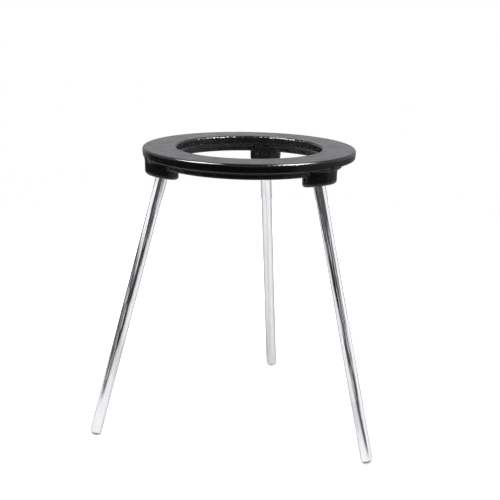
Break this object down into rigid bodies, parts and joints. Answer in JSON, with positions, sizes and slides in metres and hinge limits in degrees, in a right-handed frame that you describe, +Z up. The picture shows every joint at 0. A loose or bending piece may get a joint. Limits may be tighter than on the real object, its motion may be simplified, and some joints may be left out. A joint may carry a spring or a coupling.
{
  "type": "lab tripod stand",
  "caption": "Painted cast iron ring with a round opening, carried by splayed plated steel rods, that holds lab glassware above a burner.",
  "frame": {"origin": "on the floor, under the middle of the ring's opening", "axes": "+Z up along the ring's axis; one leg stands on the +Y side and the other two at the -X and +X sides of the -Y half"},
  "size_m": [0.1484, 0.1402, 0.15],
  "materials": {
    "ring_paint": "cast iron under gloss black enamel paint, with a slightly uneven cast surface",
    "rod_plating": "bright plated drawn steel rod with fine drawing lines along its length"
  },
  "bodies": {
    "root": {"ring": "ring_paint", "leg_back": "rod_plating", "leg_left": "rod_plating", "leg_right": "rod_plating"}
  },
  "joints": []
}
